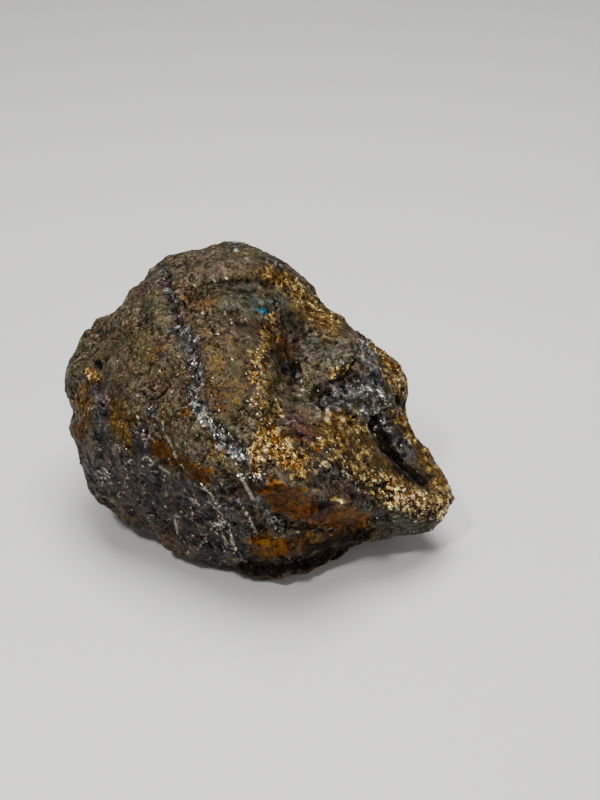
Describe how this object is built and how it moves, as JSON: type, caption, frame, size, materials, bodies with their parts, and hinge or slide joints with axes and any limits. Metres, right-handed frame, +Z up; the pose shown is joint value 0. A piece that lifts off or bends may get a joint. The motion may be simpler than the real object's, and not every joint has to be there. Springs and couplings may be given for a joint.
{
  "type": "rough chalcopyrite stone",
  "caption": "Hand-sized rough piece of massive chalcopyrite with a domed face, a hollowed lobe and a pointed nose, resting on a flat broken face.",
  "frame": {"origin": "the point of the flat resting face straight below the stone's middle", "axes": "+Z up from the resting face, -Y towards the domed front face, +X along the longest extent, towards the pointed nose"},
  "size_m": [0.0944, 0.0729, 0.0654],
  "materials": {
    "tarnished_sulphide": "rough, granular sulphide with a metallic sparkle: bronze-brown tarnish with brassy gold, blue-grey steel, rust-orange and dark slate patches"
  },
  "bodies": {
    "root": {"chalcopyrite": "tarnished_sulphide"}
  },
  "joints": []
}
